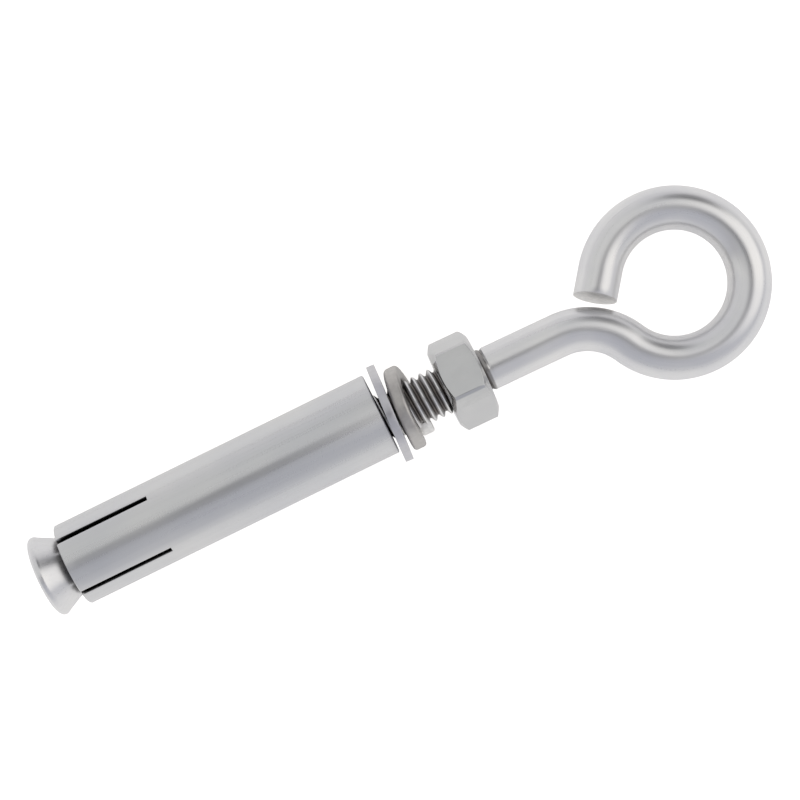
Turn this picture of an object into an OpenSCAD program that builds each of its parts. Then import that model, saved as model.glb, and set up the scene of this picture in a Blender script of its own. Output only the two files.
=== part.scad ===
// Expansion anchor eye bolt: a slotted sleeve, a cone-ended bolt bent into an eye,
// a flat washer, a spring lock washer and a hex nut.
// Millimetres. The bolt's axis is X, with the eye at +X and the cone at -X.
// X = 0 is the outer end of the sleeve, where the wall's face comes. The eye lies flat in XY.
// The bolt is loose in the sleeve, so it leans a little in XY, about the seat of its cone.

/* [Sleeve] */
// Outside diameter of the sleeve, and the hole it goes in
sleeve_d = 10; // [8:0.1:14]
// Wall of the sleeve
sleeve_wall = 1.4; // [0.8:0.05:2]
// Length of the sleeve
sleeve_len = 40; // [25:0.5:80]
// Length of the slots at the cone end
slot_len = 11.6; // [6:0.1:20]
// Width of the slots
slot_w = 0.6; // [0.3:0.05:1.2]
// Angle between the two saw cuts that make the four slots
slot_cross = 82; // [70:1:110]
// Turn of the slots about the axis
slot_turn = 2; // [-45:1:45]
// Small bevel on the sleeve's outer edges
sleeve_bevel = 0.2; // [0.05:0.05:0.4]

/* [Bolt] */
// Diameter of the plain rod and of the eye's wire
rod_d = 5.2; // [4:0.1:6]
// Diameter over the thread's crests
thread_d = 5.85; // [4.5:0.05:7]
// Depth of the thread's grooves below the crests
thread_depth = 0.54; // [0.3:0.02:0.8]
// Pitch of the thread
pitch = 1; // [0.5:0.05:1.5]
// Turns of thread that run on inside the sleeve
turns_inside = 8; // [2:1:15]
// Plain length of rod from the nut's outer face to the bend of the neck
neck_run = 9.75; // [4:0.05:30]
// Gap left between the leaning thread and the sleeve's bore, at the sleeve's outer end
lean_gap = 0.08; // [0.05:0.01:0.3]

/* [Cone] */
// Largest diameter of the cone
cone_d = 9.85; // [7:0.05:13]
// Half of the cone's angle
cone_half_angle = 27; // [15:1:40]
// Thickness of the cone's rim
cone_rim = 0.75; // [0.4:0.05:2]
// Gap round the cone where the sleeve's mouth meets it
cone_gap = 0.22; // [0.1:0.01:0.5]

/* [Eye] */
// Clear diameter inside the eye
eye_inner_d = 12.34; // [8:0.1:25]
// Radius of the bend that carries the neck off the axis, to the rod's centre
neck_bend_r = 8.1; // [6:0.1:16]
// How far the eye's centre sits to the neck's side of the axis
eye_drop = 0.2; // [0:0.05:2]
// Where the ring's bend ends, as an angle round the eye from the outward direction
eye_end_angle = 144; // [120:1:150]
// Straight length left on the free end
tail_len = 3.5; // [0.5:0.1:4]

/* [Flat washer] */
// Outside diameter of the flat washer
washer_d = 12; // [9:0.1:18]
// Thickness of the flat washer
washer_t = 1; // [0.5:0.05:2]
// Gap between the sleeve's end and the flat washer, on the axis
washer_gap = 0.45; // [0.4:0.05:2]
// How far the loose flat washer leans from the sleeve's end face
washer_lean = 3; // [0:0.1:3.5]
// How far the loose flat washer hangs off the bolt's axis
washer_offset = 0.2; // [0:0.02:0.2]

/* [Spring washer] */
// Outside diameter of the spring washer
spring_d = 10.1; // [8:0.1:14]
// Thickness of the spring washer's section
spring_t = 1.6; // [0.8:0.05:2]
// How far the spring washer's two ends stand apart along the axis
spring_rise = 1.5; // [0.5:0.05:2]
// Gap between the washers on the axis, before the rise and the tip are taken up
spring_gap = 0.83; // [0.8:0.01:3]
// How far the loose spring washer tips, its front towards the sleeve
spring_tip = 5; // [0:0.1:6]
// Turn of the spring washer's cut about the axis, round behind the bolt
spring_turn = 34; // [0:1:90]
// Flat steps round the spring washer
spring_steps = 60; // [24:4:96]

/* [Nut] */
// Width of the nut across its flats
nut_af = 10; // [8:0.1:14]
// Thickness of the nut
nut_h = 5; // [3:0.1:8]
// Free length of thread between the spring washer and the nut
nut_stand_off = 3.92; // [3.7:0.02:10]
// Turn of the nut's corners about the axis
nut_turn = 16; // [0:1:60]

/* [Fits] */
// Clearance round the thread inside the nut, on the radius
nut_clearance = 0.08; // [0.05:0.01:0.2]
// Clearance round the thread inside both washers, on the radius
washer_clearance = 0.27; // [0.15:0.01:0.5]

/* [Hidden] */
$fn = 96;
eps = 0.01;
seam_lap = 0.2;
seam_step = 0.03;

sleeve_r = sleeve_d / 2;
bore_r = sleeve_r - sleeve_wall;
tube_len = sleeve_len - slot_len;

rod_r = rod_d / 2;
crest_r = thread_d / 2;
root_r = crest_r - thread_depth;

// the loose bolt leans about the seat of its cone until its thread all but touches the bore
bolt_lean = asin((bore_r - crest_r - lean_gap) / sleeve_len);

// the cone: its flank passes cone_gap inside the sleeve's mouth
cone_r = cone_d / 2;
cone_slope = tan(cone_half_angle);
mouth_x = -sleeve_len;
cone_top_x = mouth_x - (cone_r - (bore_r - cone_gap)) / cone_slope;
cone_small_x = cone_top_x + (cone_r - rod_r) / cone_slope;
cone_end_x = cone_top_x - cone_rim;
rim_round = min(0.6, cone_rim * 0.8);

// the washers and the nut, each placed from the piece before it
washer_x = washer_gap + washer_t / 2;
hole_r = crest_r + washer_clearance;
spring_x = washer_x + washer_t / 2 + spring_gap + spring_t / 2;
spring_cut = 6;
spring_start = spring_cut / 2 - spring_turn;
spring_sweep = 360 - spring_cut;
nut_x = spring_x + spring_t / 2 + nut_stand_off;
nut_bore_r = crest_r + nut_clearance;
nut_e = nut_af / cos(30);
nut_face_r = nut_af * 0.475;
nut_bevel = (nut_e / 2 - nut_face_r) * tan(30);
countersink = 0.3;

// the thread, in whole turns from inside the sleeve to just past the nut
thread_start = -turns_inside * pitch;
thread_turns = floor((nut_x + nut_h + 0.8 - thread_start) / pitch);
thread_end = thread_start + thread_turns * pitch;

// the eye: the neck's bend and the ring touch where they share a tangent
ring_r = eye_inner_d / 2 + rod_r;
neck_x = nut_x + nut_h + neck_run;
neck_rise = neck_bend_r - eye_drop;
ring_x = neck_x + sqrt(pow(ring_r + neck_bend_r, 2) - pow(neck_rise, 2));
neck_angle = asin(neck_rise / (ring_r + neck_bend_r));

steel = [0.72, 0.73, 0.74];
warm_steel = [0.66, 0.64, 0.61];
bright_steel = [0.82, 0.83, 0.85];

// turns a shape drawn upright, along Z, to lie along X
module along_x() {
    rotate([0, 90, 0])
        children();
}

// leans what is on the bolt, about the middle of the sleeve's mouth
module on_bolt() {
    translate([mouth_x, 0, 0])
        rotate([0, 0, -bolt_lean])
            translate([-mouth_x, 0, 0])
                children();
}

// one turn of the thread's outline, starting at x
function groove(x) = [
    [root_r, x + pitch * 0.06],
    [crest_r, x + pitch * 0.40],
    [crest_r, x + pitch * 0.60],
    [root_r, x + pitch * 0.94]
];

// the straight rod with its cone and its thread, turned in one piece
module bolt_rod() {
    along_x()
        rotate_extrude()
            polygon(concat(
                [
                    [0, cone_end_x],
                    [cone_r - rim_round, cone_end_x],
                    [cone_r - rim_round * 0.3, cone_end_x + rim_round * 0.3],
                    [cone_r, cone_end_x + rim_round],
                    [cone_r, cone_top_x],
                    [rod_r, cone_small_x],
                    [rod_r, thread_start - pitch * 0.3]
                ],
                [for (i = [0 : thread_turns - 1]) for (p = groove(thread_start + i * pitch)) p],
                [
                    [rod_r, thread_end + pitch * 0.3],
                    [rod_r, neck_x],
                    [0, neck_x]
                ]
            ));
}

// the bend that carries the rod from its axis to the ring; it reaches a little into both,
// a hair thinner than they are, so that they join as one solid
module neck() {
    lap = seam_lap / neck_bend_r * 180 / PI;
    translate([neck_x, -neck_bend_r, 0])
        rotate([0, 0, neck_angle - lap])
            rotate_extrude(angle = 90 - neck_angle + 2 * lap)
                translate([neck_bend_r, 0])
                    circle(r = rod_r - seam_step);
}

// the open ring, from the end of the neck round to the straight tail
module ring() {
    translate([ring_x, -eye_drop, 0])
        rotate([0, 0, 180 + neck_angle])
            rotate_extrude(angle = 180 + eye_end_angle - neck_angle)
                translate([ring_r, 0])
                    circle(r = rod_r);
}

// the straight bit left at the free end, which reaches a little into the ring
module tail() {
    translate([ring_x, -eye_drop, 0])
        rotate([0, 0, eye_end_angle])
            translate([ring_r, -seam_lap, 0])
                rotate([-90, 0, 0])
                    cylinder(r = rod_r - seam_step, h = tail_len + seam_lap);
}

module eye_bolt() {
    color(steel)
        on_bolt() {
            bolt_rod();
            neck();
            ring();
            tail();
        }
}

// the unslotted part of the sleeve
module sleeve_tube() {
    color(steel)
        along_x()
            rotate_extrude()
                polygon([
                    [bore_r, -tube_len],
                    [sleeve_r, -tube_len],
                    [sleeve_r, -sleeve_bevel],
                    [sleeve_r - sleeve_bevel, 0],
                    [bore_r, 0]
                ]);
}

// one of the four leaves between the slots; k counts quarter turns from +Z towards -Y
module leaf(k) {
    half = (k % 2 == 0) ? slot_cross / 2 : 90 - slot_cross / 2;
    apex = slot_w / 2 / sin(half);
    reach = 3 * sleeve_r;
    rotate([90 * k + slot_turn, 0, 0])
        intersection() {
            along_x()
                rotate_extrude()
                    polygon([
                        [bore_r, -sleeve_len],
                        [sleeve_r - sleeve_bevel, -sleeve_len],
                        [sleeve_r, -sleeve_len + sleeve_bevel],
                        [sleeve_r, -tube_len],
                        [bore_r, -tube_len]
                    ]);
            translate([-sleeve_len - 1, 0, 0])
                along_x()
                    linear_extrude(height = slot_len + 2)
                        polygon([
                            [-apex, 0],
                            [-apex - reach * cos(half), reach * sin(half)],
                            [-apex - reach * cos(half), -reach * sin(half)]
                        ]);
        }
}

module sleeve_leaf_1() {
    color(steel)
        leaf(0);
}

module sleeve_leaf_2() {
    color(steel)
        leaf(1);
}

module sleeve_leaf_3() {
    color(steel)
        leaf(2);
}

module sleeve_leaf_4() {
    color(steel)
        leaf(3);
}

module flat_washer() {
    color(steel)
        on_bolt()
            translate([washer_x, washer_offset, 0])
                rotate([0, 0, bolt_lean - washer_lean])
                    along_x()
                        difference() {
                            cylinder(r = washer_d / 2, h = washer_t, center = true);
                            cylinder(r = hole_r, h = washer_t + 1, center = true);
                        }
}

// where a corner of the spring washer's section is, t of the way round from 0 to 1
function spring_point(t, r, side) = [
    (t - 0.5) * spring_rise + side * spring_t / 2,
    -r * cos(spring_start + t * spring_sweep),
    r * sin(spring_start + t * spring_sweep)
];

// a square section carried once round the bolt as it climbs
module spring_washer() {
    points = [
        for (i = [0 : spring_steps])
            for (c = [[hole_r, -1], [spring_d / 2, -1], [spring_d / 2, 1], [hole_r, 1]])
                spring_point(i / spring_steps, c[0], c[1])
    ];
    last = 4 * spring_steps;
    sides = [
        for (i = [0 : spring_steps - 1])
            for (j = [0 : 3])
                let (a = 4 * i + j, b = 4 * i + (j + 1) % 4)
                    for (f = [[a, b, b + 4], [a, b + 4, a + 4]]) f
    ];
    caps = [[3, 2, 1], [3, 1, 0], [last, last + 1, last + 2], [last, last + 2, last + 3]];
    color(warm_steel)
        on_bolt()
            translate([spring_x, 0, 0])
                rotate([0, -spring_tip, bolt_lean])
                    polyhedron(points = points, faces = concat(sides, caps));
}

// the nut's outside, turned: flat faces with a bevel run round each
module nut_outside() {
    rotate_extrude()
        polygon([
            [0, 0],
            [nut_face_r, 0],
            [nut_e / 2 + eps, nut_bevel],
            [nut_e / 2 + eps, nut_h - nut_bevel],
            [nut_face_r, nut_h],
            [0, nut_h]
        ]);
}

// the nut's hole, with a countersink at each end
module nut_hole() {
    rotate_extrude()
        polygon([
            [0, -1],
            [nut_bore_r + countersink + 1, -1],
            [nut_bore_r, countersink],
            [nut_bore_r, nut_h - countersink],
            [nut_bore_r + countersink + 1, nut_h + 1],
            [0, nut_h + 1]
        ]);
}

module hex_nut() {
    color(bright_steel)
        on_bolt()
            translate([nut_x, 0, 0])
                along_x()
                    difference() {
                        intersection() {
                            rotate([0, 0, nut_turn])
                                cylinder(r = nut_e / 2, h = nut_h, $fn = 6);
                            nut_outside();
                        }
                        nut_hole();
                    }
}

eye_bolt();
sleeve_tube();
sleeve_leaf_1();
sleeve_leaf_2();
sleeve_leaf_3();
sleeve_leaf_4();
flat_washer();
spring_washer();
hex_nut();
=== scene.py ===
import bpy
import bmesh
import math
from mathutils import Matrix, Vector


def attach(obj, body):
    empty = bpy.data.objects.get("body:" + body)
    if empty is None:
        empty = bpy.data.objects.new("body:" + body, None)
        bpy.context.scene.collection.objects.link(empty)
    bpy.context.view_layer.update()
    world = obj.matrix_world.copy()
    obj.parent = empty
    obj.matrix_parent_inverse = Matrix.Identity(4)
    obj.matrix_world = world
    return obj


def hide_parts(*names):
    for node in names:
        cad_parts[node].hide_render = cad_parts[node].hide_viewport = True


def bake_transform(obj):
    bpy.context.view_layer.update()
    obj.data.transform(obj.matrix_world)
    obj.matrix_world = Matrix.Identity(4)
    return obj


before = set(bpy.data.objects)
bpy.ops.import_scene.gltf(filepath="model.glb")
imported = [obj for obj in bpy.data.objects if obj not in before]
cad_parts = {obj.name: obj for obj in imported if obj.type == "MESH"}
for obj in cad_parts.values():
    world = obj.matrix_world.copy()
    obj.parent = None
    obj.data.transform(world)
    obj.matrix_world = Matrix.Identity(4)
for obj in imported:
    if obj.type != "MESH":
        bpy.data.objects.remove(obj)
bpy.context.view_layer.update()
print("frame loaded:", len(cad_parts), "nodes")

# every piece is shaped in millimetres about the X axis, leaned if it is on the bolt, then brought to metres
common = {
    "rodRadius": 2.6,
    "seatX": -40.0,          # the loose bolt leans about this point on the sleeve's axis
    "leanDeg": 0.8523,
    "pitch": 1.0,
    "sharpDeg": 33.0,        # edges sharper than this stay crisp
}
millimetre = 0.001
near = 0.01                  # millimetres, for points that lie on one plane or on one ring
touching = 0.001


def outlineFace(bm, points, rounding, segments):
    # a closed outline with some corners rounded, left as bare edges ready to spin
    verts = [bm.verts.new((x, r, 0)) for x, r in points]
    bm.faces.new(verts)
    for radius, corners in rounding.items():
        bmesh.ops.bevel(bm, geom=[verts[i] for i in corners], offset=radius, offset_type="OFFSET",
                        segments=segments, profile=0.5, affect="VERTICES", material=-1)
    bmesh.ops.delete(bm, geom=bm.faces[:], context="FACES_ONLY")


def openLine(bm, points):
    verts = [bm.verts.new((x, r, 0)) for x, r in points]
    edges = [bm.edges.new(pair) for pair in zip(verts, verts[1:])]
    return verts + edges


def turnFull(bm, geom, steps):
    bmesh.ops.spin(bm, geom=geom, cent=(0, 0, 0), axis=(1, 0, 0), angle=2 * math.pi,
                   steps=steps, use_merge=True, use_duplicate=False)
    bmesh.ops.remove_doubles(bm, verts=bm.verts, dist=0.0005)


def screwThread(bm, outline, pitch, turns, perTurn):
    bmesh.ops.spin(bm, geom=openLine(bm, outline), cent=(0, 0, 0), axis=(1, 0, 0),
                   dvec=(pitch / perTurn, 0, 0), angle=2 * math.pi * turns,
                   steps=perTurn * turns, use_merge=False, use_duplicate=False)
    bmesh.ops.remove_doubles(bm, verts=bm.verts, dist=0.002)


def everything(bm):
    return bm.verts[:] + bm.edges[:] + bm.faces[:]


def cutAway(bm, point, normal):
    bmesh.ops.bisect_plane(bm, geom=everything(bm), dist=0.0001, plane_co=point, plane_no=normal,
                           clear_outer=True, clear_inner=False)


def openEdges(bm, test=None):
    edges = [e for e in bm.edges if len(e.link_faces) == 1]
    return [e for e in edges if test is None or all(test(v.co) for v in e.verts)]


def capHoles(bm):
    bmesh.ops.holes_fill(bm, edges=openEdges(bm), sides=0)


def bevelSharp(bm, width, limitDeg, test=None):
    bmesh.ops.recalc_face_normals(bm, faces=bm.faces)
    picked = []
    for edge in bm.edges:
        if len(edge.link_faces) != 2 or edge.calc_face_angle() < math.radians(limitDeg):
            continue
        if test is None or test(edge):
            picked.append(edge)
    bmesh.ops.bevel(bm, geom=picked, offset=width, offset_type="OFFSET", segments=2,
                    profile=0.5, affect="EDGES", clamp_overlap=True, material=-1)


def smooth01(t):
    t = min(1.0, max(0.0, t))
    return t * t * (3 - 2 * t)


def leanWithBolt(bm):
    turn = Matrix.Rotation(-math.radians(common["leanDeg"]), 3, "Z")
    bmesh.ops.rotate(bm, verts=bm.verts, cent=(common["seatX"], 0, 0), matrix=turn)


def makePiece(bm, name, material, body, node, onBolt=False, cutFinish=None, cutFaces=None):
    if cutFaces:
        for face in bm.faces:
            face.material_index = 1 if cutFaces(face) else 0
    if onBolt:
        leanWithBolt(bm)
    bmesh.ops.recalc_face_normals(bm, faces=bm.faces)
    limit = math.radians(common["sharpDeg"])
    for face in bm.faces:
        face.smooth = True
    for edge in bm.edges:
        edge.smooth = len(edge.link_faces) == 2 and edge.calc_face_angle() < limit
    bmesh.ops.scale(bm, vec=(millimetre, millimetre, millimetre), verts=bm.verts)
    mesh = bpy.data.meshes.new(name)
    bm.to_mesh(mesh)
    bm.free()
    piece = bpy.data.objects.new(name, mesh)
    bpy.context.scene.collection.objects.link(piece)
    mesh.materials.append(material)
    if cutFinish:
        mesh.materials.append(cutFinish)
    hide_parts(node)
    if body:
        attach(piece, body)
    print("made", name, len(mesh.polygons), "faces")
    return piece


def addNode(nodes, kind, **inputs):
    node = nodes.new(kind)
    for key, value in inputs.items():
        node.inputs[key].default_value = value
    return node


def fade(nodes, links, value, low, high, before, after):
    step = nodes.new("ShaderNodeMapRange")
    step.interpolation_type = "SMOOTHSTEP"
    step.inputs["From Min"].default_value = low
    step.inputs["From Max"].default_value = high
    step.inputs["To Min"].default_value = before
    step.inputs["To Max"].default_value = after
    links.new(value, step.inputs["Value"])
    return step.outputs["Result"]


def combine(nodes, links, operation, first, second):
    join = nodes.new("ShaderNodeMath")
    join.operation = operation
    links.new(first, join.inputs[0])
    links.new(second, join.inputs[1])
    return join.outputs["Value"]


def mixTo(nodes, links, factor, colour, shade):
    # a colour that gives way to one plain shade
    mix = nodes.new("ShaderNodeMix")
    mix.data_type = "RGBA"
    mix.inputs["B"].default_value = (*shade, 1)
    links.new(factor, mix.inputs["Factor"])
    links.new(colour, mix.inputs["A"])
    return mix.outputs["Result"]


def twoTone(nodes, links, value, span, first, second):
    ramp = nodes.new("ShaderNodeValToRGB")
    for element, place, shade in zip(ramp.color_ramp.elements, span, (first, second)):
        element.position = place
        element.color = (*shade, 1)
    links.new(value, ramp.inputs["Fac"])
    return ramp.outputs["Color"]


def between(nodes, links, value, span, depth):
    begin = fade(nodes, links, value, *span[0], 0.0, depth)
    stop = fade(nodes, links, value, *span[1], 1.0, 0.0)
    return combine(nodes, links, "MULTIPLY", begin, stop)


steel = {
    "ior": 2.5,
    "lineDetail": 6.0, "lineRoughness": 0.62,
    "cloudDetail": 3.0, "cloudRoughness": 0.5,
    "grainDetail": 4.0, "grainRoughness": 0.7,
    "cloudSpan": (0.34, 0.68), "streakSpan": (0.30, 0.62), "roughSpan": (0.3, 0.7),
    "grainShare": 0.4,       # how much the grain, and not the lines, sets the roughness
    "lineDepth": 0.00002, "grainDepth": 0.00001,
}


def steelFinish(name, look):
    material = bpy.data.materials.new(name)
    material.use_nodes = True
    nodes = material.node_tree.nodes
    links = material.node_tree.links
    shader = nodes["Principled BSDF"]
    shader.inputs["Metallic"].default_value = 1.0
    shader.inputs["IOR"].default_value = steel["ior"]

    if look.get("along"):
        place = nodes.new("ShaderNodeAttribute")
        place.attribute_name = look["along"]
        where = place.outputs["Vector"]
    else:
        where = nodes.new("ShaderNodeTexCoord").outputs["Object"]

    # drawn lines: noise pulled out along the bar
    stretch = nodes.new("ShaderNodeMapping")
    stretch.inputs["Scale"].default_value = (look["lineStretch"], 1.0, 1.0)
    links.new(where, stretch.inputs["Vector"])
    lines = addNode(nodes, "ShaderNodeTexNoise", Scale=look["lineScale"],
                    Detail=steel["lineDetail"], Roughness=steel["lineRoughness"])
    links.new(stretch.outputs["Vector"], lines.inputs["Vector"])

    # broad clouding, as handling and pickling leave
    clouds = addNode(nodes, "ShaderNodeTexNoise", Scale=look["cloudScale"],
                     Detail=steel["cloudDetail"], Roughness=steel["cloudRoughness"])
    links.new(where, clouds.inputs["Vector"])

    # fine grain
    grain = addNode(nodes, "ShaderNodeTexNoise", Scale=look["grainScale"],
                    Detail=steel["grainDetail"], Roughness=steel["grainRoughness"])
    links.new(where, grain.inputs["Vector"])

    # colour: two steels mixed by the clouds, then streaked by the lines
    clouded = twoTone(nodes, links, clouds.outputs["Fac"], steel["cloudSpan"], look["steelA"], look["steelB"])
    dim = 1.0 - look["streakDepth"]
    streaks = twoTone(nodes, links, lines.outputs["Fac"], steel["streakSpan"], (dim, dim, dim), (1, 1, 1))
    streaked = nodes.new("ShaderNodeMix")
    streaked.data_type = "RGBA"
    streaked.blend_type = "MULTIPLY"
    streaked.inputs["Factor"].default_value = 1.0
    links.new(clouded, streaked.inputs["A"])
    links.new(streaks, streaked.inputs["B"])
    colour = streaked.outputs["Result"]

    # painted shade: the colour darkens below a radius, where shade falls in the thread's grooves or in the
    # sleeve's bore and cuts, and along the stretch of the bar inside the sleeve
    if look.get("paintedShadeRadius"):
        split = nodes.new("ShaderNodeSeparateXYZ")
        links.new(where, split.inputs["Vector"])
        flat = nodes.new("ShaderNodeCombineXYZ")
        links.new(split.outputs["Y"], flat.inputs["Y"])
        links.new(split.outputs["Z"], flat.inputs["Z"])
        reach = nodes.new("ShaderNodeVectorMath")
        reach.operation = "LENGTH"
        links.new(flat.outputs["Vector"], reach.inputs[0])
        low, high = look["paintedShadeRadius"]
        paintedShade = fade(nodes, links, reach.outputs["Value"], low, high, look["paintedShadeStrength"], 0.0)
        if look.get("paintedShadeSleeveSpan"):
            inThread = between(nodes, links, split.outputs["X"], look["paintedShadeThreadSpan"], 1.0)
            # painted shade along the bar where the sleeve covers it
            paintedShadeInSleeve = between(nodes, links, split.outputs["X"], look["paintedShadeSleeveSpan"], look["paintedShadeSleeveDepth"])
            paintedShade = combine(nodes, links, "MULTIPLY", paintedShade, inThread)
            paintedShade = combine(nodes, links, "MAXIMUM", paintedShade, paintedShadeInSleeve)
        colour = mixTo(nodes, links, paintedShade, colour, look["paintedShadeColour"])
    links.new(colour, shader.inputs["Base Color"])

    # roughness follows the lines and the grain
    mixFine = nodes.new("ShaderNodeMix")
    mixFine.inputs["Factor"].default_value = steel["grainShare"]
    links.new(lines.outputs["Fac"], mixFine.inputs["A"])
    links.new(grain.outputs["Fac"], mixFine.inputs["B"])
    rough = nodes.new("ShaderNodeMapRange")
    rough.inputs["From Min"].default_value = steel["roughSpan"][0]
    rough.inputs["From Max"].default_value = steel["roughSpan"][1]
    rough.inputs["To Min"].default_value = look["roughLow"]
    rough.inputs["To Max"].default_value = look["roughHigh"]
    links.new(mixFine.outputs["Result"], rough.inputs["Value"])
    links.new(rough.outputs["Result"], shader.inputs["Roughness"])

    # relief: the lines first, then the grain on top
    lineBump = addNode(nodes, "ShaderNodeBump", Strength=look["lineBump"], Distance=steel["lineDepth"])
    links.new(lines.outputs["Fac"], lineBump.inputs["Height"])
    grainBump = addNode(nodes, "ShaderNodeBump", Strength=look["grainBump"], Distance=steel["grainDepth"])
    links.new(grain.outputs["Fac"], grainBump.inputs["Height"])
    links.new(lineBump.outputs["Normal"], grainBump.inputs["Normal"])
    links.new(grainBump.outputs["Normal"], shader.inputs["Normal"])
    return material


drawnSteel = steelFinish("drawnSteel", {
    "along": "straightened",
    "lineStretch": 0.03, "lineScale": 2600.0, "cloudScale": 160.0, "grainScale": 9000.0,
    "steelA": (0.68, 0.68, 0.695), "steelB": (0.75, 0.745, 0.74), "streakDepth": 0.06,
    "roughLow": 0.25, "roughHigh": 0.35, "lineBump": 0.10, "grainBump": 0.06,
    # near black colour of the painted shade
    "paintedShadeColour": (0.075, 0.062, 0.055),
    # painted shade: dark down in the thread's grooves, and all over where the sleeve covers the bar and
    # shades it
    "paintedShadeRadius": (0.00236, 0.00300), "paintedShadeStrength": 0.93, "paintedShadeThreadSpan": ((-0.0080, -0.0078), (0.0134, 0.0136)),
    "paintedShadeSleeveSpan": ((-0.04035, -0.0398), (-0.0008, 0.0002)), "paintedShadeSleeveDepth": 0.93,
})
sleeveSteel = steelFinish("sleeveSteel", {
    "lineStretch": 0.015, "lineScale": 1500.0, "cloudScale": 90.0, "grainScale": 8000.0,
    "steelA": (0.595, 0.60, 0.615), "steelB": (0.645, 0.645, 0.645), "streakDepth": 0.06,
    "roughLow": 0.24, "roughHigh": 0.34, "lineBump": 0.16, "grainBump": 0.08,
    # painted shade: near black in the bore, and on the end faces and the cuts' walls below this radius
    "paintedShadeColour": (0.03, 0.028, 0.027), "paintedShadeRadius": (0.00462, 0.00490), "paintedShadeStrength": 0.96,
})
shearedSteel = steelFinish("shearedSteel", {
    "lineStretch": 1.0, "lineScale": 2500.0, "cloudScale": 700.0, "grainScale": 12000.0,
    "steelA": (0.86, 0.85, 0.83), "steelB": (0.93, 0.92, 0.90), "streakDepth": 0.20,
    "roughLow": 0.42, "roughHigh": 0.62, "lineBump": 0.5, "grainBump": 0.5,
})
washerSteel = steelFinish("washerSteel", {
    "lineStretch": 1.0, "lineScale": 1200.0, "cloudScale": 260.0, "grainScale": 7000.0,
    "steelA": (0.54, 0.54, 0.575), "steelB": (0.62, 0.615, 0.63), "streakDepth": 0.12,
    "roughLow": 0.28, "roughHigh": 0.42, "lineBump": 0.22, "grainBump": 0.20,
})
springSteel = steelFinish("springSteel", {
    "lineStretch": 1.0, "lineScale": 1500.0, "cloudScale": 300.0, "grainScale": 6000.0,
    "steelA": (0.45, 0.435, 0.42), "steelB": (0.56, 0.545, 0.53), "streakDepth": 0.16,
    "roughLow": 0.30, "roughHigh": 0.46, "lineBump": 0.30, "grainBump": 0.25,
})
nutSteel = steelFinish("nutSteel", {
    "lineStretch": 0.4, "lineScale": 900.0, "cloudScale": 200.0, "grainScale": 9000.0,
    "steelA": (0.53, 0.535, 0.54), "steelB": (0.58, 0.58, 0.58), "streakDepth": 0.03,
    "roughLow": 0.10, "roughHigh": 0.17, "lineBump": 0.05, "grainBump": 0.04,
})
print("finishes made")


bolt = {
    "coneRadius": 4.925, "coneHalfDeg": 27.0, "coneTopX": -43.05, "coneEndX": -43.75,
    "endFlat": 2.0, "coneSteps": 72, "coneJoin": 0.4,
    "crestRadius": 2.925, "rootRadius": 2.385, "threadFrom": -8.4, "threadTo": 13.72, "runOut": 0.3,
    "lastCrestX": 12.75,     # past here the thread is only a groove
    "crestFade": 0.2, "screwFrom": -10.5, "spareTurns": 2, "perTurn": 48,
    "around": 64, "joinGap": 0.3, "rodSteps": 6,
    "nearBar": 2.8,          # a point within this of the bar's centre line belongs to that stretch
    "neckX": 22.55, "neckRadius": 8.1, "neckSteps": 30,
    "eyeRadius": 8.77, "eyeDrop": 0.2, "eyeEndDeg": 144.0, "eyeSteps": 130,
    "tailLength": 3.5, "tailCutDeg": 10.5, "tailBevel": 0.09, "tailBevelOverDeg": 35.0,
    "tailSpare": 1.0, "tailSteps": 4, "tailReach": 3.0,
}
eyeCentre = Vector((
    bolt["neckX"] + math.sqrt((bolt["eyeRadius"] + bolt["neckRadius"]) ** 2
                              - (bolt["neckRadius"] - bolt["eyeDrop"]) ** 2),
    -bolt["eyeDrop"], 0))
neckAngle = math.asin((bolt["neckRadius"] - bolt["eyeDrop"]) / (bolt["eyeRadius"] + bolt["neckRadius"]))
neckSweep = math.pi / 2 - neckAngle
eyeSweep = math.pi + math.radians(bolt["eyeEndDeg"]) - neckAngle
neckCentre = Vector((bolt["neckX"], -bolt["neckRadius"], 0))
endTurn = math.radians(bolt["eyeEndDeg"])
tailStart = eyeCentre + bolt["eyeRadius"] * Vector((math.cos(endTurn), math.sin(endTurn), 0))
tailWay = Vector((-math.sin(endTurn), math.cos(endTurn), 0))
tailCut = math.radians(bolt["tailCutDeg"])
tailCutNormal = tailWay * math.cos(tailCut) + Vector((0, 0, math.sin(tailCut)))
tailEnd = tailStart + tailWay * bolt["tailLength"]


def ringEdges(verts):
    chosen = set(verts)
    return [e for e in {e for v in verts for e in v.link_edges} if all(v in chosen for v in e.verts)]


def pushRing(bm, edges, offset):
    out = bmesh.ops.extrude_edge_only(bm, edges=edges)
    verts = [g for g in out["geom"] if isinstance(g, bmesh.types.BMVert)]
    bmesh.ops.translate(bm, verts=verts, vec=offset)
    return ringEdges(verts)


def spinRing(bm, edges, centre, angle, steps):
    verts = list({v for e in edges for v in e.verts})
    out = bmesh.ops.spin(bm, geom=verts + edges, cent=centre, axis=(0, 0, 1), angle=angle,
                         steps=steps, use_merge=False, use_duplicate=False)
    last = [g for g in out["geom_last"] if isinstance(g, bmesh.types.BMVert)]
    return ringEdges(last)


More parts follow.
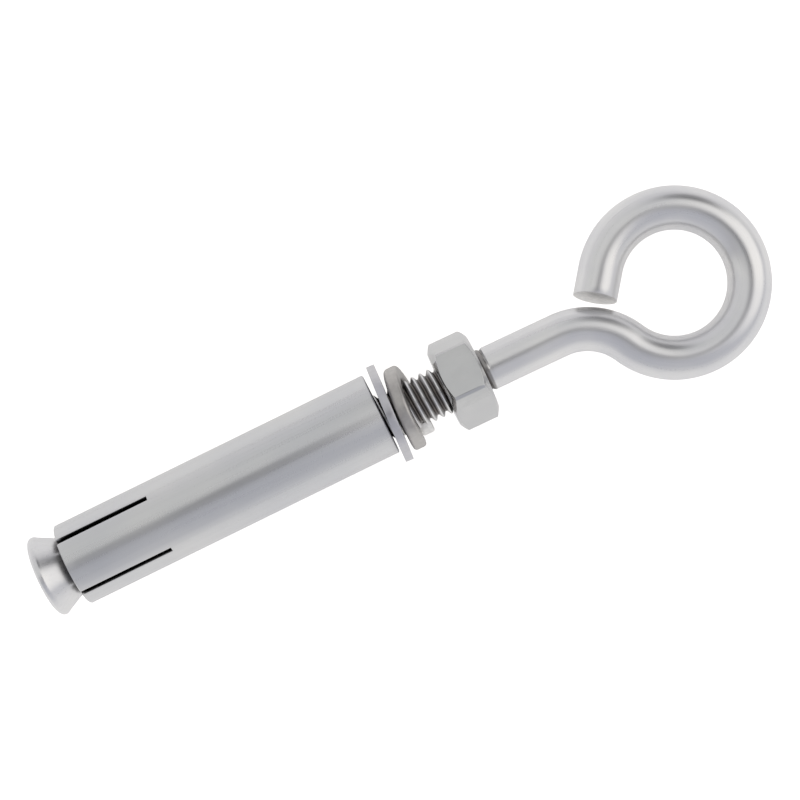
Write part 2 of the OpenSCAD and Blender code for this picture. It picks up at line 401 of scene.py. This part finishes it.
def straighten(point):
    # where a point of the bent bar lies once the bar is pulled straight
    side = Vector((-tailWay.y, tailWay.x, 0))
    run = (point - tailStart).dot(tailWay)
    away = (point - tailStart).dot(side)
    neckLength = bolt["neckRadius"] * neckSweep
    eyeLength = bolt["eyeRadius"] * eyeSweep
    onBar = math.hypot(away, point.z) < bolt["nearBar"]
    if run > 0 and onBar and (point - tailEnd).dot(tailCutNormal) < 2 * near:
        return (bolt["neckX"] + neckLength + eyeLength + run, away, point.z)
    if point.x <= bolt["neckX"]:
        return (point.x, point.y, point.z)
    out = point - eyeCentre
    turned = (math.atan2(out.y, out.x) - math.pi - neckAngle) % (2 * math.pi)
    reach = math.hypot(out.x, out.y)
    if abs(reach - bolt["eyeRadius"]) < bolt["nearBar"] and turned <= eyeSweep + touching:
        return (bolt["neckX"] + neckLength + bolt["eyeRadius"] * turned, bolt["eyeRadius"] - reach, point.z)
    out = point - neckCentre
    reach = math.hypot(out.x, out.y)
    along = bolt["neckRadius"] * math.atan2(out.x, out.y)
    return (bolt["neckX"] + along, reach - bolt["neckRadius"], point.z)


def threadOutline(crest, root, start, pitch):
    # one pitch of a rolled thread: how far along it, and how far up from root to crest
    steps = [(0.0, 0.0), (0.07, 0.0), (0.13, 0.07), (0.36, 0.87), (0.42, 0.98), (0.50, 1.0),
             (0.58, 0.98), (0.64, 0.87), (0.87, 0.07), (0.93, 0.0), (1.0, 0.0)]
    return [(start + pitch * t, root + (crest - root) * up) for t, up in steps]


def makeEyeBolt():
    bm = bmesh.new()
    rod = common["rodRadius"]

    # thread, cut square at both ends and faded into the plain rod
    turns = math.ceil(bolt["threadTo"] - bolt["threadFrom"]) + bolt["spareTurns"]
    outline = threadOutline(bolt["crestRadius"], bolt["rootRadius"], bolt["screwFrom"], common["pitch"])
    screwThread(bm, outline, common["pitch"], turns, bolt["perTurn"])
    cutAway(bm, (bolt["threadFrom"], 0, 0), (-1, 0, 0))
    cutAway(bm, (bolt["threadTo"], 0, 0), (1, 0, 0))
    for vert in bm.verts:
        fromEnd = min(vert.co.x - bolt["threadFrom"], bolt["threadTo"] - vert.co.x)
        reach = math.hypot(vert.co.y, vert.co.z)
        past = smooth01((vert.co.x - bolt["lastCrestX"]) / bolt["crestFade"])
        crest = bolt["crestRadius"] + (rod - bolt["crestRadius"]) * past
        wanted = rod + (min(reach, crest) - rod) * smooth01(fromEnd / bolt["runOut"])
        vert.co.y *= wanted / reach
        vert.co.z *= wanted / reach
    bmesh.ops.remove_doubles(bm, verts=bm.verts, dist=near)
    outerLoop = openEdges(bm, lambda co: co.x > bolt["threadTo"] - near)

    # plain rod beyond the thread, bent into the neck and the ring, then the straight tail
    square = Matrix.Rotation(math.pi / 2, 4, "Y")
    rodFrom = bolt["threadTo"] + bolt["joinGap"]
    first = bmesh.ops.create_circle(bm, cap_ends=False, radius=rod, segments=bolt["around"],
                                    matrix=Matrix.Translation((rodFrom, 0, 0)) @ square)
    loop = ringEdges(first["verts"])
    bmesh.ops.bridge_loops(bm, edges=outerLoop + loop)
    for i in range(bolt["rodSteps"]):
        loop = pushRing(bm, loop, ((bolt["neckX"] - rodFrom) / bolt["rodSteps"], 0, 0))
    loop = spinRing(bm, loop, neckCentre, -neckSweep, bolt["neckSteps"])
    loop = spinRing(bm, loop, eyeCentre, eyeSweep, bolt["eyeSteps"])
    tailVerts = {v for e in loop for v in e.verts}
    for i in range(bolt["tailSteps"]):
        loop = pushRing(bm, loop, tailWay * (bolt["tailLength"] + bolt["tailSpare"]) / bolt["tailSteps"])
        tailVerts.update(v for e in loop for v in e.verts)
    tail = [part for part in bm.edges[:] + bm.faces[:] if all(v in tailVerts for v in part.verts)]
    bmesh.ops.bisect_plane(bm, geom=list(tailVerts) + tail, dist=0.0001, plane_co=tailEnd,
                           plane_no=tailCutNormal, clear_outer=True, clear_inner=False)

    # the cone, turned with a rolled lip
    radius, endX = bolt["coneRadius"], bolt["coneEndX"]
    smallX = bolt["coneTopX"] + (radius - rod) / math.tan(math.radians(bolt["coneHalfDeg"]))
    lip = [(0.0, -0.95), (0.05, -0.55), (0.18, -0.28), (0.36, -0.09), (0.55, -0.01), (0.75, 0.0),
           (0.92, -0.05), (1.10, -0.15), (1.35, -0.31)]
    fillet = [(-0.25, 0.14), (0.0, 0.05), (0.35, 0.0), (6.0, 0.0)]
    joinX = bolt["threadFrom"] - bolt["coneJoin"]
    line = [(endX, 0), (endX, bolt["endFlat"])]
    line += [(endX + along, radius + up) for along, up in lip]
    line += [(smallX + along, rod + up) for along, up in fillet]
    line += [(joinX, rod)]
    cone = bmesh.new()
    turnFull(cone, openLine(cone, line), bolt["coneSteps"])
    spare = bpy.data.meshes.new("cone")
    cone.to_mesh(spare)
    cone.free()
    bm.from_mesh(spare)
    bpy.data.meshes.remove(spare)
    coneLoop = openEdges(bm, lambda co: abs(co.x - joinX) < near)
    innerLoop = openEdges(bm, lambda co: abs(co.x - bolt["threadFrom"]) < near)
    bmesh.ops.bridge_loops(bm, edges=innerLoop + coneLoop)
    capHoles(bm)

    def onTailCut(point):
        away = point - tailEnd
        return abs(away.dot(tailCutNormal)) < near and away.length < bolt["tailReach"]
    bevelSharp(bm, bolt["tailBevel"], bolt["tailBevelOverDeg"],
               lambda e: all(onTailCut(v.co) for v in e.verts))
    layer = bm.verts.layers.float_vector.new("straightened")
    for vert in bm.verts:
        vert[layer] = Vector(straighten(vert.co)) * millimetre
    return makePiece(bm, "eyeBolt", drawnSteel, "bolt", "eye_bolt", onBolt=True,
                     cutFinish=shearedSteel, cutFaces=lambda face: onTailCut(face.calc_center_median()))


makeEyeBolt()


sleeve = {
    "outer": 5.0, "bore": 3.6, "length": 40.0, "slotRoot": -28.4, "slotWidth": 0.6,
    "halfSpan": (41.0, 49.0), "turnDeg": 2.0,
    "bevel": 0.12, "boreBevel": 0.15, "leafBoreBevel": 0.12, "rimRound": 0.06,
    "edge": 0.04, "edgeOverDeg": 40.0,
    "tubeSteps": 128, "leafSteps": 34,
    "fineStep": 0.25, "fineCount": 16, "coarseStep": 0.9, "coarseCount": 7,
    "flare": 0.00375,        # how far each wall of the upper cut leans outwards in each millimetre
    "bendLength": 3.0,       # the metal just past a cut's root, where the real sleeve bends when a leaf spreads
}


def makeSleeveTube():
    bm = bmesh.new()
    outer, bore, bevel = sleeve["outer"], sleeve["bore"], sleeve["bevel"]
    boreBevel = sleeve["boreBevel"]
    outlineFace(bm, [(sleeve["slotRoot"], bore), (sleeve["slotRoot"], outer), (-bevel, outer),
                     (0, outer - bevel), (0, bore + boreBevel), (-boreBevel, bore)],
                {sleeve["rimRound"]: (2, 3), sleeve["edge"]: (4, 5)}, 2)
    turnFull(bm, bm.verts[:] + bm.edges[:], sleeve["tubeSteps"])
    return makePiece(bm, "sleeveTube", sleeveSteel, "sleeve", "sleeve_tube")


def makeSleeveLeaf(index):
    outer, bore, bevel = sleeve["outer"], sleeve["bore"], sleeve["bevel"]
    mouth, root = -sleeve["length"], sleeve["slotRoot"]
    boreBevel = sleeve["leafBoreBevel"]

    # close rings near the cut's root, where a real leaf bends, wider ones beyond
    places = [root - sleeve["fineStep"] * i for i in range(1, sleeve["fineCount"] + 1)]
    straightFrom = root - sleeve["fineStep"] * sleeve["fineCount"]
    places += [straightFrom - sleeve["coarseStep"] * i for i in range(1, sleeve["coarseCount"] + 1)]
    line = [(root, outer)] + [(x, outer) for x in places]
    line += [(mouth + bevel, outer), (mouth, outer - bevel)]
    line += [(mouth, bore + boreBevel), (mouth + boreBevel, bore)]
    line += [(x, bore) for x in reversed(places)] + [(root, bore)]
    bm = bmesh.new()
    verts = [bm.verts.new((x, 0, r)) for x, r in line]
    edges = [bm.edges.new(pair) for pair in zip(verts, verts[1:] + verts[:1])]
    half = sleeve["halfSpan"][index % 2]
    middle = 90.0 * index + sleeve["turnDeg"]

    # swept from one cut to the other, from +Z towards -Y, then trimmed to the parallel walls of the cuts
    bmesh.ops.rotate(bm, verts=bm.verts, cent=(0, 0, 0),
                     matrix=Matrix.Rotation(math.radians(middle - half), 3, "X"))
    bmesh.ops.spin(bm, geom=verts + edges, cent=(0, 0, 0), axis=(1, 0, 0), angle=math.radians(2 * half),
                   steps=sleeve["leafSteps"], use_merge=False, use_duplicate=False)
    for sign in (-1, 1):
        turn = math.radians(middle + sign * half)
        normal = Vector((0, -math.cos(turn), -math.sin(turn))) * sign
        upper = (index == 0 and sign < 0) or (index == 3 and sign > 0)
        flare = sleeve["flare"] if upper else 0.0
        wall = normal * (-sleeve["slotWidth"] / 2) + Vector((root, 0, 0))
        cutAway(bm, wall, normal + Vector((-flare, 0, 0)))
    capHoles(bm)
    bevelSharp(bm, sleeve["edge"], sleeve["edgeOverDeg"],
               lambda e: any(v.co.x < root - near for v in e.verts))
    name = "sleeveLeaf%d" % (index + 1)
    piece = makePiece(bm, name, sleeveSteel, None, "sleeve_leaf_%d" % (index + 1))
    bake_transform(piece)
    return piece


makeSleeveTube()
for leafIndex in range(4):
    makeSleeveLeaf(leafIndex)


flatWasher = {
    "outer": 6.0, "hole": 3.195, "thick": 1.0, "x": 0.95, "offset": 0.2, "leanDeg": 3.0,
    "corner": 0.07, "steps": 112,
}
springWasher = {
    "outer": 5.05, "hole": 3.2, "thick": 1.6, "x": 3.08, "rise": 1.5, "tipDeg": 5.0,
    "cutDeg": 6.0, "turnDeg": 34.0, "steps": 120, "corner": 0.38, "edge": 0.05, "edgeOverDeg": 60.0,
}


def tiltAndPlace(bm, leanDeg, tipDeg, place):
    # the lean is counted from the sleeve's end face, so the bolt's own lean is taken off here
    turn = Matrix.Rotation(math.radians(common["leanDeg"] - leanDeg), 3, "Z")
    turn = turn @ Matrix.Rotation(math.radians(-tipDeg), 3, "Y")
    bmesh.ops.rotate(bm, verts=bm.verts, cent=(0, 0, 0), matrix=turn)
    bmesh.ops.translate(bm, verts=bm.verts, vec=place)


def makeFlatWasher():
    bm = bmesh.new()
    half = flatWasher["thick"] / 2
    outlineFace(bm, [(-half, flatWasher["hole"]), (-half, flatWasher["outer"]),
                     (half, flatWasher["outer"]), (half, flatWasher["hole"])],
                {flatWasher["corner"]: (0, 1, 2, 3)}, 3)
    turnFull(bm, bm.verts[:] + bm.edges[:], flatWasher["steps"])
    tiltAndPlace(bm, flatWasher["leanDeg"], 0.0, (flatWasher["x"], flatWasher["offset"], 0))
    return makePiece(bm, "flatWasher", washerSteel, "flat_washer", "flat_washer",
                     onBolt=True)


def makeSpringWasher():
    bm = bmesh.new()
    half = springWasher["thick"] / 2
    outlineFace(bm, [(-half, -springWasher["hole"]), (-half, -springWasher["outer"]),
                     (half, -springWasher["outer"]), (half, -springWasher["hole"])],
                {springWasher["corner"]: (0, 1, 2, 3)}, 4)
    start = math.radians(springWasher["cutDeg"] / 2 - springWasher["turnDeg"])
    bmesh.ops.rotate(bm, verts=bm.verts, cent=(0, 0, 0), matrix=Matrix.Rotation(-start, 3, "X"))
    bmesh.ops.translate(bm, verts=bm.verts, vec=(-springWasher["rise"] / 2, 0, 0))
    bmesh.ops.spin(bm, geom=bm.verts[:] + bm.edges[:], cent=(0, 0, 0), axis=(-1, 0, 0),
                   dvec=(springWasher["rise"] / springWasher["steps"], 0, 0),
                   angle=math.radians(360 - springWasher["cutDeg"]), steps=springWasher["steps"],
                   use_merge=False, use_duplicate=False)
    capHoles(bm)
    bevelSharp(bm, springWasher["edge"], springWasher["edgeOverDeg"])
    ends = [math.radians(sign * springWasher["cutDeg"] / 2 - springWasher["turnDeg"]) for sign in (1, -1)]
    cuts = [Vector((0, math.sin(turn), math.cos(turn))) for turn in ends]

    def onCut(face):
        middle = face.calc_center_median()
        return any(abs(face.normal.dot(cut)) > 0.99 and abs(middle.dot(cut)) < near for cut in cuts)
    for face in bm.faces:
        face.material_index = 1 if onCut(face) else 0
    tiltAndPlace(bm, 0.0, springWasher["tipDeg"], (springWasher["x"], 0, 0))
    return makePiece(bm, "springWasher", springSteel, "spring_washer", "spring_washer",
                     onBolt=True, cutFinish=shearedSteel)


makeFlatWasher()
makeSpringWasher()


nut = {
    "x": 7.8, "height": 5.0, "flats": 10.0, "face": 4.55, "corner": 5.745, "turnDeg": 16.0,
    "minor": 2.50, "major": 2.985, "screwFrom": 4.5, "turns": 10,
    "mouth": 3.2, "sinkSlope": 0.9, "mouthRim": 0.15, "nearMouth": 0.2,
    "ridge": 5.66, "edge": 0.04, "edgeOverDeg": 12.0, "around": 144,
    "sidesFrom": 4.5,        # open edges farther out than this belong to a flat
}


def makeNut():
    bm = bmesh.new()
    left, right = nut["x"], nut["x"] + nut["height"]

    # the threaded bore, opened out by a countersink at each face
    outline = threadOutline(nut["major"], nut["minor"], nut["screwFrom"], common["pitch"])
    screwThread(bm, outline, common["pitch"], nut["turns"], bolt["perTurn"])
    cutAway(bm, (left, 0, 0), (-1, 0, 0))
    cutAway(bm, (right, 0, 0), (1, 0, 0))
    for vert in bm.verts:
        inward = min(vert.co.x - left, right - vert.co.x)
        reach = math.hypot(vert.co.y, vert.co.z)
        wanted = max(reach, nut["mouth"] - inward * nut["sinkSlope"])
        vert.co.y *= wanted / reach
        vert.co.z *= wanted / reach
    bmesh.ops.remove_doubles(bm, verts=bm.verts, dist=near)

    # the outside, turned with its bevels, then cut to six flats
    drop = (nut["corner"] - nut["face"]) * math.tan(math.radians(30))
    rim = nut["mouth"] + nut["mouthRim"]
    outside = bmesh.new()
    turnFull(outside, openLine(outside, [
        (left, rim), (left, nut["face"]), (left + drop, nut["corner"]),
        (right - drop, nut["corner"]), (right, nut["face"]), (right, rim)]), nut["around"])
    for firstDeg, depth in ((30, nut["flats"] / 2), (0, nut["ridge"])):
        for i in range(6):
            turn = math.radians(nut["turnDeg"] + firstDeg + 60 * i)
            normal = Vector((0, -math.sin(turn), math.cos(turn)))
            cutAway(outside, normal * depth, normal)
        openSides = openEdges(outside, lambda co: math.hypot(co.y, co.z) > nut["sidesFrom"])
        bmesh.ops.holes_fill(outside, edges=openSides, sides=0)
    bevelSharp(outside, nut["edge"], nut["edgeOverDeg"])
    spare = bpy.data.meshes.new("outside")
    outside.to_mesh(spare)
    outside.free()
    bm.from_mesh(spare)
    bpy.data.meshes.remove(spare)
    mouthReach = nut["mouth"] + nut["nearMouth"]
    for x in (left, right):
        gap = openEdges(bm, lambda co: abs(co.x - x) < touching and math.hypot(co.y, co.z) < mouthReach)
        bmesh.ops.bridge_loops(bm, edges=gap)
    return makePiece(bm, "hexNut", nutSteel, "nut", "hex_nut", onBolt=True)


makeNut()


studio = {
    "floorZ": -0.0061, "floorSize": 3.0, "floorColour": (0.88, 0.88, 0.88), "floorRoughness": 0.9,
    "floorShine": 0.1, "floorTint": (1.0, 0.98, 0.955),
    "floorGlow": 0.75, "floorBounce": 0.30,      # as the camera and as the steel sees it
    "tent": 1.0, "seenTent": (1.0, 1.0, 1.0),
    # the tent's walls, by how far round the X axis they lie
    "walls": [
        (0.0, (1.0, 0.99, 0.97)), (0.22, (0.98, 0.97, 0.95)), (0.285, (0.86, 0.86, 0.87)),
        (0.335, (0.66, 0.665, 0.70)), (0.44, (0.58, 0.59, 0.64)), (0.495, (0.44, 0.44, 0.46)),
        (0.535, (0.84, 0.84, 0.835)), (0.61, (0.76, 0.765, 0.76)), (0.70, (0.81, 0.805, 0.82)),
        (0.76, (0.86, 0.85, 0.85)), (1.0, (1.0, 0.99, 0.97)),
    ],
    # each card: its angle from straight above, its angle round, its radius and soft edge, its shade
    "cards": [
        (42, -8, 24, 8, (1.22, 1.20, 1.17)),      # softbox
        (56, 46, 8, 12, (0.12, 0.12, 0.13)),      # dark gap in the tent
        (0, 0, 7, 5, (0.16, 0.16, 0.17)),         # the lens's hole
    ],
}


def makeFloor():
    bm = bmesh.new()
    bmesh.ops.create_grid(bm, x_segments=2, y_segments=2, size=studio["floorSize"],
                          matrix=Matrix.Translation((0, 0, studio["floorZ"])))
    mesh = bpy.data.meshes.new("floor")
    bm.to_mesh(mesh)
    bm.free()
    floor = bpy.data.objects.new("floor", mesh)
    bpy.context.scene.collection.objects.link(floor)
    material = bpy.data.materials.new("paleFloor")
    material.use_nodes = True
    shader = material.node_tree.nodes["Principled BSDF"]
    shader.inputs["Base Color"].default_value = (*studio["floorColour"], 1)
    shader.inputs["Roughness"].default_value = studio["floorRoughness"]
    shader.inputs["Specular IOR Level"].default_value = studio["floorShine"]
    shader.inputs["Emission Color"].default_value = (*studio["floorTint"], 1)
    nodes = material.node_tree.nodes
    links = material.node_tree.links
    cameraRay = nodes.new("ShaderNodeLightPath").outputs["Is Camera Ray"]
    glow = fade(nodes, links, cameraRay, 0.0, 1.0, studio["floorBounce"], studio["floorGlow"])
    links.new(glow, shader.inputs["Emission Strength"])
    mesh.materials.append(material)


def direction(polarDeg, aroundDeg):
    polar, around = math.radians(polarDeg), math.radians(aroundDeg)
    return (math.sin(polar) * math.cos(around), math.sin(polar) * math.sin(around), math.cos(polar))


def makeTent():
    # a white light tent: its walls shade from side to side, with a softbox, a dark gap and the lens's hole
    world = bpy.data.worlds.new("lightTent")
    bpy.context.scene.world = world
    world.use_nodes = True
    nodes = world.node_tree.nodes
    links = world.node_tree.links
    background = nodes["Background"]
    way = nodes.new("ShaderNodeTexCoord").outputs["Generated"]
    split = nodes.new("ShaderNodeSeparateXYZ")
    links.new(way, split.inputs["Vector"])
    around = nodes.new("ShaderNodeMath")
    around.operation = "ARCTAN2"
    links.new(split.outputs["Y"], around.inputs[0])
    links.new(split.outputs["Z"], around.inputs[1])
    share = nodes.new("ShaderNodeMapRange")
    share.inputs["From Min"].default_value = -math.pi
    share.inputs["From Max"].default_value = math.pi
    links.new(around.outputs["Value"], share.inputs["Value"])
    walls = nodes.new("ShaderNodeValToRGB")
    stops = studio["walls"]
    ramp = walls.color_ramp
    while len(ramp.elements) < len(stops):
        ramp.elements.new(0.5)
    for element, (place, shade) in zip(ramp.elements, stops):
        element.position = place
        element.color = (*shade, 1)
    links.new(share.outputs["Result"], walls.inputs["Fac"])
    colour = walls.outputs["Color"]
    for polarDeg, aroundDeg, radius, soft, shade in studio["cards"]:
        facing = nodes.new("ShaderNodeVectorMath")
        facing.operation = "DOT_PRODUCT"
        links.new(way, facing.inputs[0])
        facing.inputs[1].default_value = direction(polarDeg, aroundDeg)
        outside, inside = math.cos(math.radians(radius + soft)), math.cos(math.radians(radius))
        mask = fade(nodes, links, facing.outputs["Value"], outside, inside, 0.0, 1.0)
        colour = mixTo(nodes, links, mask, colour, shade)

    # seen straight on, the tent is plain white
    cameraRay = nodes.new("ShaderNodeLightPath").outputs["Is Camera Ray"]
    seen = mixTo(nodes, links, cameraRay, colour, studio["seenTent"])
    links.new(seen, background.inputs["Color"])
    background.inputs["Strength"].default_value = studio["tent"]


view = {
    "at": (0.00268, 0.00045, 0.2449), "rollDeg": -26.117, "lens": 94.5, "sensor": 36.0,
    "nearest": 0.01, "farthest": 20.0,
}


def makeCamera():
    data = bpy.data.cameras.new("camera")
    data.lens = view["lens"]
    data.sensor_width = view["sensor"]
    data.clip_start = view["nearest"]
    data.clip_end = view["farthest"]
    camera = bpy.data.objects.new("camera", data)
    camera.location = view["at"]
    camera.rotation_euler = (0, 0, math.radians(view["rollDeg"]))
    bpy.context.scene.collection.objects.link(camera)
    bpy.context.scene.camera = camera


makeFloor()
makeTent()
makeCamera()
bpy.context.scene.view_settings.view_transform = "Standard"
print("studio made")
